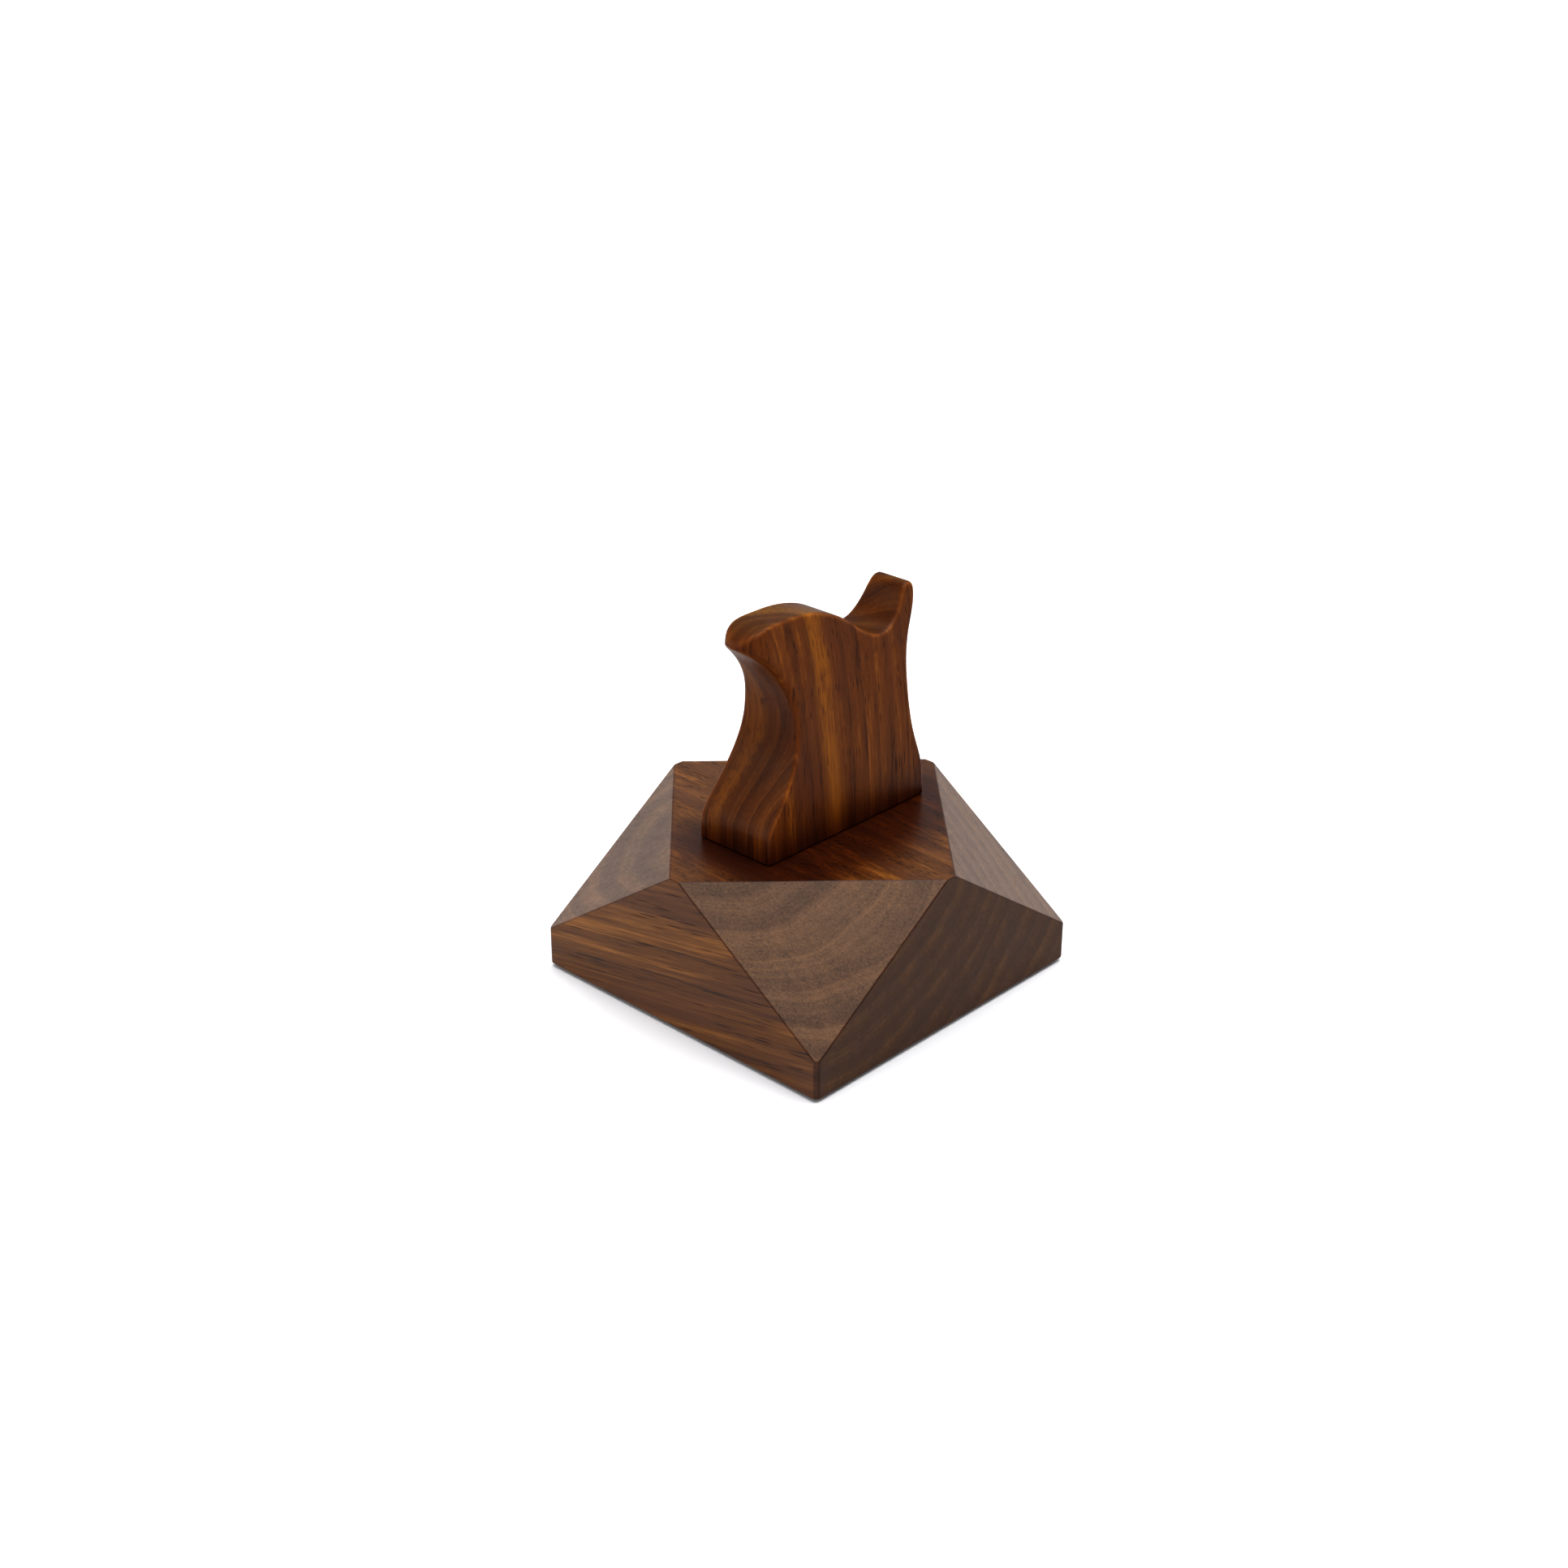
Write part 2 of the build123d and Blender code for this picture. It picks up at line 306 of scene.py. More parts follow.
def make_walnut_group():
    """Rings, streaks and pores of a piece of walnut, from its place in the tree. Lengths are in mm."""
    vector, number, colour = "NodeSocketVector", "NodeSocketFloat", "NodeSocketColor"
    white = (1.0, 1.0, 1.0, 1.0)
    tree, given, result = new_group(
        "walnut_figure",
        {
            "Pith": (vector, (0.0, 0.0, 0.0)),
            "Fibre": (vector, (0.0, 0.0, 1.0)),
            "Ring Width": (number, 5.0),
            "Ring Wander": (number, 3.0),
            "Ring Contrast": (number, 0.5),
            "Streak Contrast": (number, 0.5),
            "Dash Strength": (number, 1.0),
            "Gold Radius": (number, 26.0),
            "Gold Width": (number, 3.0),
            "Gold Strength": (number, 0.0),
            "Light": (colour, white),
            "Middle": (colour, white),
            "Dark": (colour, white),
            "Blush": (colour, white),
            "Gold": (colour, white),
            "Slant Share": (number, 0.0),
            "Slant Sheen Light": (colour, white),
            "Slant Sheen Dark": (colour, white),
            "End Grain Tint": (colour, white),
            "Arris": (number, 0.0),
            "Arris Tint": (colour, white),
            # The last two inputs paint shade: a mask, and the tint that darkens the wood under it.
            "Painted Shade": (number, 0.0),
            "Painted Shade Tint": (colour, white),
        },
        {"Color": colour, "Roughness": number, "Height": number},
    )
    place = tree.nodes.new("ShaderNodeTexCoord")
    point = vector_node(tree, "SCALE", place.outputs["Object"], scale=1 / mm)
    from_pith = vector_node(tree, "SUBTRACT", point, given["Pith"])
    along = vector_node(tree, "DOT_PRODUCT", from_pith, given["Fibre"])
    along_vector = vector_node(tree, "SCALE", given["Fibre"], scale=along)
    across = vector_node(tree, "SUBTRACT", from_pith, along_vector)
    facing = vector_node(tree, "DOT_PRODUCT", place.outputs["Normal"], given["Fibre"])
    facing = math_node(tree, "ABSOLUTE", facing)

    def stretched(share):
        """The point with its way along the fibre shortened, which draws a pattern out along it."""
        shortened = vector_node(tree, "SCALE", along_vector, scale=share)
        return vector_node(tree, "ADD", across, shortened)

    # Rings: distance from the pith, made to stray as a tree's rings do.
    distance = vector_node(tree, "LENGTH", across)
    slow = noise_node(tree, stretched(0.05), 1 / slow_bend, 1.0)
    quick = noise_node(tree, stretched(0.04), 1 / quick_bend, 2.0)
    stray = math_node(tree, "SUBTRACT", slow, 0.5)
    stray = math_node(tree, "MULTIPLY", stray, given["Ring Wander"])
    small_stray = math_node(tree, "MULTIPLY", math_node(tree, "SUBTRACT", quick, 0.5), 1.6)
    radius = math_node(tree, "ADD", math_node(tree, "MULTIPLY_ADD", stray, 2.0, distance), small_stray)
    count = math_node(tree, "DIVIDE", radius, given["Ring Width"])
    share = math_node(tree, "FRACT", count)
    number_of_ring = math_node(tree, "FLOOR", count)
    late_wood = math_node(tree, "MULTIPLY", rise(tree, share, 0.15, 0.8), rise(tree, share, 1.0, 0.84))
    own = tree.nodes.new("ShaderNodeTexWhiteNoise")
    own.noise_dimensions = "1D"
    feed(tree, own.inputs["W"], number_of_ring)
    ring_tone = math_node(tree, "MULTIPLY_ADD", own.outputs["Value"], 0.4, -0.2)
    ring_tone = math_node(tree, "ADD", ring_tone, math_node(tree, "MULTIPLY", late_wood, 0.6))
    season = tree.nodes.new("ShaderNodeCombineXYZ")
    feed(tree, season.inputs["X"], radius)
    feed(tree, season.inputs["Y"], math_node(tree, "MULTIPLY", along, 0.01))
    season_lines = noise_node(tree, season.outputs[0], 1 / season_gap, 3.0, 0.6)
    ring_tone = math_node(tree, "ADD", ring_tone, math_node(tree, "MULTIPLY_ADD", season_lines, 1.6, -0.8))
    ring_tone = math_node(tree, "MULTIPLY", ring_tone, given["Ring Contrast"])

    # Streaks along the fibre, from broad and faint to thin and strong. Across the fibre they are specks.
    broad = noise_node(tree, stretched(0.04), 1 / broad_streak, 3.0, 0.6)
    thin = noise_node(tree, stretched(0.03), 1 / thin_streak, 3.0, 0.6)
    hair = noise_node(tree, stretched(0.03), 1 / hair_streak, 2.0, 0.6)
    dash = noise_node(tree, stretched(0.02), 1 / dash_streak, 2.0, 0.55)
    dash = math_node(tree, "MULTIPLY", rise(tree, dash, 0.57, 0.67), rise(tree, broad, 0.4, 0.6, 0.1, 1.0))
    streaks = math_node(tree, "MULTIPLY_ADD", broad, 1.3, -0.65)
    streaks = math_node(tree, "ADD", streaks, math_node(tree, "MULTIPLY_ADD", thin, 1.3, -0.65))
    streaks = math_node(tree, "ADD", streaks, math_node(tree, "MULTIPLY_ADD", hair, 0.7, -0.35))
    dash = math_node(tree, "MULTIPLY", dash, given["Dash Strength"])
    streaks = math_node(tree, "ADD", streaks, dash)
    streaks = math_node(tree, "MULTIPLY", streaks, given["Streak Contrast"])
    streaks = math_node(tree, "MULTIPLY", streaks, rise(tree, facing, 0.1, 0.42, 1.0, 0.3))
    tone = math_node(tree, "ADD", math_node(tree, "ADD", ring_tone, streaks), 0.36)

    # Fuzz: a face that cuts the fibres at a slant shows their torn ends, as a fine crinkle.
    slant = math_node(tree, "MULTIPLY", rise(tree, facing, 0.2, 0.4), rise(tree, facing, 0.95, 0.7))
    slant = math_node(tree, "MULTIPLY", slant, given["Slant Share"])
    crinkle = noise_node(tree, stretched(0.5), 1 / fuzz_size, 3.0, 0.7)
    crinkle = math_node(tree, "MULTIPLY", math_node(tree, "MULTIPLY_ADD", crinkle, 1.1, -0.55), slant)
    tone = math_node(tree, "ADD", tone, crinkle, clamp=True)

    # Pores: thin dark vessels, more of them where the ring began to grow.
    cells = tree.nodes.new("ShaderNodeTexVoronoi")
    feed(tree, cells.inputs["Vector"], stretched(0.055))
    cells.inputs["Scale"].default_value = 1 / pore_gap
    chance = tree.nodes.new("ShaderNodeSeparateColor")
    feed(tree, chance.inputs["Color"], cells.outputs["Color"])
    crowd = math_node(tree, "MULTIPLY_ADD", late_wood, -0.35, 0.75)
    crowd = math_node(tree, "MULTIPLY", crowd, rise(tree, broad, 0.35, 0.6))
    here = math_node(tree, "LESS_THAN", chance.outputs[0], crowd)
    pore = math_node(tree, "MULTIPLY", rise(tree, cells.outputs["Distance"], 0.34, 0.16), here)
    pore = math_node(tree, "MULTIPLY", pore, rise(tree, facing, 0.1, 0.42, 1.0, 0.2))

    # Colour from all of them.
    wood = blend_colours(tree, rise(tree, tone, 0.0, 0.5), given["Light"], given["Middle"])
    wood = blend_colours(tree, rise(tree, tone, 0.45, 1.0), wood, given["Dark"])
    blush_noise = noise_node(tree, stretched(0.1), 1 / blush_patch, 2.0)
    blush = math_node(tree, "MULTIPLY", rise(tree, blush_noise, 0.45, 0.65), 0.6)
    wood = blend_colours(tree, blush, wood, given["Blush"])
    gold_way = math_node(tree, "ABSOLUTE", math_node(tree, "SUBTRACT", radius, given["Gold Radius"]))
    gold = rise(tree, gold_way, given["Gold Width"], math_node(tree, "MULTIPLY", given["Gold Width"], 0.3))
    gold = math_node(tree, "MULTIPLY", gold, rise(tree, thin, 0.38, 0.58, 0.2, 1.0))
    gold = math_node(tree, "MULTIPLY", gold, given["Gold Strength"])
    wood = blend_colours(tree, gold, wood, given["Gold"])
    wood = blend_colours(tree, math_node(tree, "MULTIPLY", pore, 0.62), wood, given["Dark"])

    # Tints: a painted sheen on slanting faces, end grain, sanded edges with a painted highlight on the
    # post, and painted shade.
    # Slanting faces take greyer colours: a painted sheen of the bright room on them.
    slant_sheen = blend_colours(tree, rise(tree, tone, 0.0, 0.9), given["Slant Sheen Light"], given["Slant Sheen Dark"])
    wood = blend_colours(tree, slant, wood, slant_sheen)
    end_share = rise(tree, facing, 0.7, 0.98)
    for amount, tint in (
        (end_share, "End Grain Tint"),
        (given["Arris"], "Arris Tint"),
        (given["Painted Shade"], "Painted Shade Tint"),
    ):
        wood = blend_colours(tree, amount, wood, blend_colours(tree, 1.0, wood, given[tint], "MULTIPLY"))

    rough = math_node(tree, "MULTIPLY_ADD", thin, 0.12, 0.36)
    rough = math_node(tree, "ADD", rough, math_node(tree, "MULTIPLY", pore, 0.2))
    rough = math_node(tree, "ADD", rough, math_node(tree, "MULTIPLY", end_share, 0.08))
    rough = math_node(tree, "SUBTRACT", rough, math_node(tree, "MULTIPLY", given["Painted Shade"], 0.1))
    height = math_node(tree, "MULTIPLY", pore, -1.0)
    height = math_node(tree, "ADD", height, math_node(tree, "MULTIPLY", hair, 0.5))
    height = math_node(tree, "ADD", height, math_node(tree, "MULTIPLY", late_wood, 0.3))
    height = math_node(tree, "ADD", height, crinkle)
    feed(tree, result.inputs["Color"], wood)
    feed(tree, result.inputs["Roughness"], rough)
    feed(tree, result.inputs["Height"], height)
    return tree


walnut_group = make_walnut_group()
print("walnut group:", len(walnut_group.nodes), "nodes")

# %% [markdown]
# The top of the block is painted darker near the post's foot: painted shade, and a painted reflection of
# the dark post. Oil or glue could do that, and so could a reflection or a shade, and which of them it is
# isn't known.
# The post is painted darker low down, as painted shade where it meets the block, and at its front, as
# painted shade under the nose. Masks that are fixed to the wood paint it. That is simple and steady, but it
# makes the shade a part of the colour, from whichever side the stand is seen. White as both shade tints
# takes it out.

# %% Two boards of walnut
relief_depth = 0.03 * mm
block_low, block_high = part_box("base_block")
post_low, post_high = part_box("nose_post")
foot_half_width = (post_high.x - post_low.x) / 2
foot_middle, foot_half_depth = 2.5 * mm, 34.5 * mm
painted_shade_shift, painted_shade_core, painted_shade_reach = 8 * mm, 4 * mm, 26 * mm
shaded_foot_height = 14 * mm


def place_and_facing(tree):
    """A point's place, and the way its surface faces, each split into X, Y and Z."""
    place = tree.nodes.new("ShaderNodeTexCoord")
    split = []
    for label in ("Object", "Normal"):
        axes = tree.nodes.new("ShaderNodeSeparateXYZ")
        feed(tree, axes.inputs[0], place.outputs[label])
        split.append(axes.outputs)
    return split


def painted_shade_round_foot(tree):
    """Mask of painted shade and a painted reflection of the post on the block's top: near the post's foot,
    on faces that look up.
    """
    spot, facing = place_and_facing(tree)
    aside = math_node(tree, "ABSOLUTE", math_node(tree, "SUBTRACT", spot["X"], painted_shade_shift))
    aside = math_node(tree, "SUBTRACT", aside, foot_half_width)
    ahead = math_node(tree, "ABSOLUTE", math_node(tree, "SUBTRACT", spot["Y"], foot_middle))
    ahead = math_node(tree, "SUBTRACT", ahead, foot_half_depth)
    aside = math_node(tree, "MAXIMUM", aside, 0.0)
    ahead = math_node(tree, "MAXIMUM", ahead, 0.0)
    squares = math_node(tree, "MULTIPLY_ADD", aside, aside, math_node(tree, "MULTIPLY", ahead, ahead))
    away = math_node(tree, "SQRT", squares)
    near = rise(tree, away, painted_shade_reach, painted_shade_core)
    return math_node(tree, "MULTIPLY", near, rise(tree, facing["Z"], 0.9, 0.99))


def painted_shade_at_foot(tree):
    """Mask of painted shade on the post: its lowest part, where it meets the block, and faces that look
    forward, under the nose.
    """
    spot, facing = place_and_facing(tree)
    foot = rise(tree, spot["Z"], post_low.z + shaded_foot_height, post_low.z)
    front = rise(tree, facing["Y"], -0.3, -0.9, 0.0, 0.55)
    return math_node(tree, "MAXIMUM", foot, front)


def make_walnut(name, values, gloss, painted_shade):
    """A walnut material: the figure feeds colour, gloss and relief, under a thin coat of finish."""
    material, tree, surface = new_material(name)
    arris = tree.nodes.new("ShaderNodeAttribute")
    arris.attribute_name = "arris"
    # The second mask paints shade, and comes from the function given for this material.
    masks = {"Arris": arris.outputs["Fac"], "Painted Shade": painted_shade(tree)}
    figure = place_group(tree, walnut_group, values | masks)
    relief = tree.nodes.new("ShaderNodeBump")
    relief.inputs["Strength"].default_value = 1.0
    relief.inputs["Distance"].default_value = relief_depth
    feed(tree, relief.inputs["Height"], figure["Height"])
    feed(tree, surface.inputs["Base Color"], figure["Color"])
    feed(tree, surface.inputs["Roughness"], figure["Roughness"])
    feed(tree, surface.inputs["Normal"], relief.outputs["Normal"])
    surface.inputs["Specular IOR Level"].default_value = gloss
    surface.inputs["Coat Weight"].default_value = 0.03
    surface.inputs["Coat Roughness"].default_value = 0.2
    return material


fibre_rise = math.radians(10.0)
base_walnut = make_walnut("base_walnut", {
    "Pith": (0.0, -45.0, 69.0),
    "Fibre": (math.cos(fibre_rise), 0.0, math.sin(fibre_rise)),
    "Ring Width": 8.0,
    "Ring Wander": 3.0,
    "Ring Contrast": 0.26,
    "Streak Contrast": 0.68,
    "Dash Strength": 1.1,
    "Light": (0.24, 0.1, 0.02, 1.0),
    "Middle": (0.105, 0.039, 0.008, 1.0),
    "Dark": (0.022, 0.007, 0.004, 1.0),
    "Blush": (0.09, 0.036, 0.018, 1.0),
    # The facets' greyer slant colours are a painted sheen.
    "Slant Share": 0.8,
    "Slant Sheen Light": (0.15, 0.085, 0.047, 1.0),
    "Slant Sheen Dark": (0.043, 0.024, 0.015, 1.0),
    "End Grain Tint": (0.5, 0.5, 0.52, 1.0),
    "Arris Tint": (0.6, 0.45, 0.4, 1.0),
    # Painted shade and a painted reflection of the post: this tint darkens the block's top round the post's
    # foot.
    "Painted Shade Tint": (0.4, 0.24, 0.16, 1.0),
}, 0.26, painted_shade_round_foot)
post_walnut = make_walnut("post_walnut", {
    "Pith": (17.0, -29.0, 0.0),
    "Fibre": (0.0, 0.0, 1.0),
    "Ring Width": 6.0,
    "Ring Wander": 2.5,
    "Ring Contrast": 0.36,
    "Streak Contrast": 0.5,
    "Dash Strength": 0.3,
    "Gold Radius": 25.5,
    "Gold Width": 5.0,
    "Gold Strength": 0.65,
    "Light": (0.25, 0.088, 0.01, 1.0),
    "Middle": (0.115, 0.034, 0.005, 1.0),
    "Dark": (0.02, 0.006, 0.003, 1.0),
    "Blush": (0.085, 0.026, 0.009, 1.0),
    "Gold": (0.26, 0.095, 0.008, 1.0),
    # The greyer slant colours are a painted sheen.
    "Slant Share": 0.3,
    "Slant Sheen Light": (0.2, 0.085, 0.025, 1.0),
    "Slant Sheen Dark": (0.05, 0.018, 0.006, 1.0),
    "End Grain Tint": (0.72, 0.88, 1.5, 1.0),
    # The post's edges are painted lighter and bluer: a painted highlight along its sanded edges.
    "Arris Tint": (1.7, 1.75, 2.0, 1.0),
    # Painted shade: this tint darkens the post's foot and its front.
    "Painted Shade Tint": (0.4, 0.28, 0.22, 1.0),
}, 0.1, painted_shade_at_foot)
print("walnut for the block and for the post is ready")

# %% [markdown]
# ## The base block
#
# The maker saws a square block and then planes a flat facet off each corner, from the corner's upright
# edge up to the middle of the top's sides. It could be a cube with four boolean cuts. Written as a
# solid with its own corner points it is clearer, and each kind of edge can then be eased by its own
# amount: the upright corners most, the ridges between facets only with a wipe of sandpaper.

# %% Corner points and faces of the block
corner_height = 12.0 * mm
short_edge = 3.2 * mm
corner_easing = 1.6 * mm
ridge_easing = 0.42 * mm
bottom_easing = 0.8 * mm
corner_steps = 5
ridge_steps = 3
folded_from = 12
sanded_least, sanded_most = 0.02 * mm, 0.7 * mm


def make_block_shape():
    """The faceted block before its edges are eased, as points and faces."""
    half = block_high.x
    points = []
    for quarter in range(4):
        turn = Matrix.Rotation(math.radians(90 * quarter), 3, "Z")
        for spot in (
            (half, half, block_low.z),
            (half, half, block_low.z + corner_height),
            (half, short_edge / 2, block_high.z),
            (short_edge / 2, half, block_high.z),
        ):
            points.append(turn @ Vector(spot))
    faces = [tuple(4 * quarter for quarter in (3, 2, 1, 0))]
    faces.append(tuple(number for quarter in range(4) for number in (4 * quarter + 2, 4 * quarter + 3)))
    for quarter in range(4):
        low, top, right, left = (4 * quarter + step for step in range(4))
        next_low, next_top, next_right = (4 * ((quarter + 1) % 4) + step for step in range(3))
        faces.append((top, left, right))
        faces.append((low, next_low, next_top, next_right, left, top))
    return points, faces


def ease_edges(mesh, choose, amount, steps):
    """Rounds the edges that are picked by a rule on their lower end, upper end and fold angle."""
    work = bmesh.new()
    work.from_mesh(mesh)
    chosen = []
    for edge in work.edges:
        low, high = sorted((vertex.co for vertex in edge.verts), key=lambda spot: spot.z)
        if choose(low, high, math.degrees(edge.calc_face_angle())):
            chosen.append(edge)
    bmesh.ops.bevel(work, geom=chosen, offset=amount, segments=steps, profile=0.5, affect="EDGES")
    work.to_mesh(mesh)
    work.free()
    return len(chosen)


def is_upright(low, high):
    """Whether an edge stands upright."""
    return (high.xy - low.xy).length < 0.01 * mm and high.z > low.z


base_block = new_piece("base_block_wood", *make_block_shape())
mesh = base_block.data
corner_count = ease_edges(
    mesh, lambda low, high, fold: is_upright(low, high), corner_easing, corner_steps
)
ridge_count = ease_edges(
    mesh,
    lambda low, high, fold: fold > folded_from and low.z > block_low.z + mm and not is_upright(low, high),
    ridge_easing,
    ridge_steps,
)
bottom_count = ease_edges(
    mesh,
    lambda low, high, fold: fold > folded_from and high.z < block_low.z + 0.1 * mm,
    bottom_easing,
    ridge_steps,
)
print("eased", corner_count, "upright corners,", ridge_count, "ridges,", bottom_count, "bottom edges")

# %% [markdown]
# The underside has four shallow round recesses for the pads and two stepped holes for the screws. A
# drill makes each of them, so the cutters are turned shapes.

# %% Recesses and screw holes
pad_nodes = [name for name in sorted(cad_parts) if name.startswith("foot_pad")]
screw_nodes = [name for name in sorted(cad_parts) if name.startswith("post_screw")]
pad_clearance = 0.2 * mm
pad_recess = 1.5 * mm
head_height = 2.9 * mm
head_radius = 4.1 * mm
screw_radius = 2.1 * mm
head_clearance = 0.9 * mm
hole_clearance = 0.25 * mm
hole_sides = 72


def middle_of(node):
    """The middle of a CAD node's box, seen from above."""
    low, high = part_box(node)
    return ((low.x + high.x) / 2, (low.y + high.y) / 2)


for node in pad_nodes:
    low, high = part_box(node)
    recess_radius = (high.x - low.x) / 2 + pad_clearance
    profile = [(recess_radius, block_low.z - mm), (recess_radius, block_low.z + pad_recess)]
    cut_away(base_block, new_piece("recess", *lathe(profile, middle_of(node), hole_sides)))
for node in screw_nodes:
    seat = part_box(node)[0].z + head_height
    profile = [
        (head_radius + head_clearance, block_low.z - mm),
        (head_radius + head_clearance, seat),
        (screw_radius + hole_clearance, seat),
        (screw_radius + hole_clearance, block_high.z + mm),
    ]
    cut_away(base_block, new_piece("hole", *lathe(profile, middle_of(node), hole_sides)))
smooth_with_flat_faces(base_block, 35)


def mark_block_arrises(mesh):
    """Marks points that sanding took below all of the block's flat faces."""
    shape_points, shape_faces = make_block_shape()
    planes = []
    for face in shape_faces:
        first, second, third = (shape_points[number] for number in face[:3])
        normal = (second - first).cross(third - first).normalized()
        planes.append((normal, normal.dot(first)))
    arris = mesh.attributes.new("arris", "FLOAT", "POINT")
    marked = 0
    for vertex in mesh.vertices:
        depth = min(level - normal.dot(vertex.co) for normal, level in planes)
        is_sanded = sanded_least < depth < sanded_most
        arris.data[vertex.index].value = 1.0 if is_sanded else 0.0
        marked += is_sanded
    return marked


print("sanded edge points:", mark_block_arrises(base_block.data))
finish_piece(base_block, ["base_block"], base_walnut)

# %% [markdown]
# ## The post
#
# The post is sawn to its side view first, then its two sides are sanded to a taper, the nose is rounded
# and all edges are softened by hand: hardly at the foot, more under the nose. Subdivision surfaces
# could follow it, but the roundness of an edge that changes along its way is awkward there. Instead the
# post is described as a field: a number for each point of space, below zero inside the wood. Joining
# two such fields with a rounded corner is one line, and the corner's radius may differ from place to
# place.
#
# The side view comes first: straight, round and free stretches, in millimetres, forward to back and up
# from the top of the block.

# %% The post's side view
def free_curve(points, start, end, spacing=0.4):
    """A smooth curve through points that leaves and arrives in the given directions."""
    spots = np.array(points, float)
    gaps = np.linalg.norm(np.diff(spots, axis=0), axis=1)
    count = len(spots)
    system = np.eye(count)
    wanted = np.zeros((count, 2))
    wanted[0], wanted[-1] = start, end
    for spot in range(1, count - 1):
        before, after = gaps[spot - 1], gaps[spot]
        system[spot, spot - 1:spot + 2] = (1 / before, 2 / before + 2 / after, 1 / after)
        wanted[spot] = 3 * (spots[spot] - spots[spot - 1]) / before ** 2
        wanted[spot] += 3 * (spots[spot + 1] - spots[spot]) / after ** 2
    slopes = np.linalg.solve(system, wanted)
    curve = []
    for piece in range(count - 1):
        steps = max(2, int(gaps[piece] / spacing))
        share = (np.arange(steps) / steps)[:, None]
        curve.append(
            (2 * share ** 3 - 3 * share ** 2 + 1) * spots[piece]
            + (share ** 3 - 2 * share ** 2 + share) * gaps[piece] * slopes[piece]
            + (3 * share ** 2 - 2 * share ** 3) * spots[piece + 1]
            + (share ** 3 - share ** 2) * gaps[piece] * slopes[piece + 1]
        )
    return np.vstack(curve)


def round_curve(start, end, direction, spacing=0.4):
    """An arc from start, leaving in the given direction, to end."""
    start, end, direction = (np.array(value, float) for value in (start, end, direction))
    side = np.array((-direction[1], direction[0]))
    chord = end - start
    radius = chord @ chord / (2 * chord @ side)
    centre = start + radius * side
    first = start - centre
    sweep = 2 * math.atan2(chord @ side, chord @ direction)
    steps = max(3, int(abs(radius * sweep) / spacing))
    angles = sweep * np.arange(steps) / steps
    turned = np.stack((-first[1], first[0]) * np.ones((steps, 2)))
    return centre + np.cos(angles)[:, None] * first + np.sin(angles)[:, None] * turned


up, down, back = (0, 1), (0, -1), (1, 0)
toe, toe_top, front_waist = (-32.0, 0.0), (-32.0, 7.0), (-16.9, 38.5)
lip, crest = (-32.5, 64.5), (-15.0, 70.8)
hollow, horn_top, horn_back = (23.0, 56.2), (36.8, 68.2), (38.8, 66.0)
heel_top, heel = (37.0, 7.0), (37.0, 0.0)
side_view = np.vstack([
    [toe],
    free_curve([toe_top, (-29.0, 13.0), (-22.1, 22.3), front_waist], up, up),
    round_curve(front_waist, lip, up),
    free_curve([lip, (-29.8, 68.3), crest], up, back),
    free_curve([crest, (8.0, 64.4), hollow], back, back),
    free_curve([hollow, (31.6, 62.6), horn_top], back, back),
    round_curve(horn_top, horn_back, back),
    free_curve([horn_back, (34.6, 53.4), (32.2, 37.0), (33.8, 21.0), heel_top], down, down),
    [heel_top, heel],
])
side_view[:, 1] = np.minimum(side_view[:, 1], crest[1])
print("side view:", len(side_view), "points, from", side_view.min(axis=0), "to", side_view.max(axis=0))

# %% [markdown]
# Three distances make the field. The first is to the side view's outline, wherever the point is across
# the post. The second is to the tapered sides, each of which is one long arc seen from the front, and
# to a round nose seen from above. The third is to the flat foot.

# %% Distances that make the post
foot_half, middle_half, crest_half = 14.4, 11.2, 6.2
middle_height, crest_level = 40.0, crest[1]
nose_radius = 8.6
nose_centre = lip[0] + nose_radius
nose_starts = front_waist[1]
pilot_depth = 30.4
pilot_places = [middle_of(node)[1] / mm for node in screw_nodes]


def circle_through(first, second, third):
    """Centre and radius of the circle through three points."""
    rows = np.array([np.subtract(second, first), np.subtract(third, first)], float)
    centre = np.array(first) + np.linalg.solve(rows, (rows ** 2).sum(axis=1) / 2)
    return centre, np.linalg.norm(np.array(first) - centre)


flank_centre, flank_radius = circle_through(
    (foot_half, 0.0), (middle_half, middle_height), (crest_half, crest_level)
)


on_outline_within = 0.02
spots_at_once = 2000


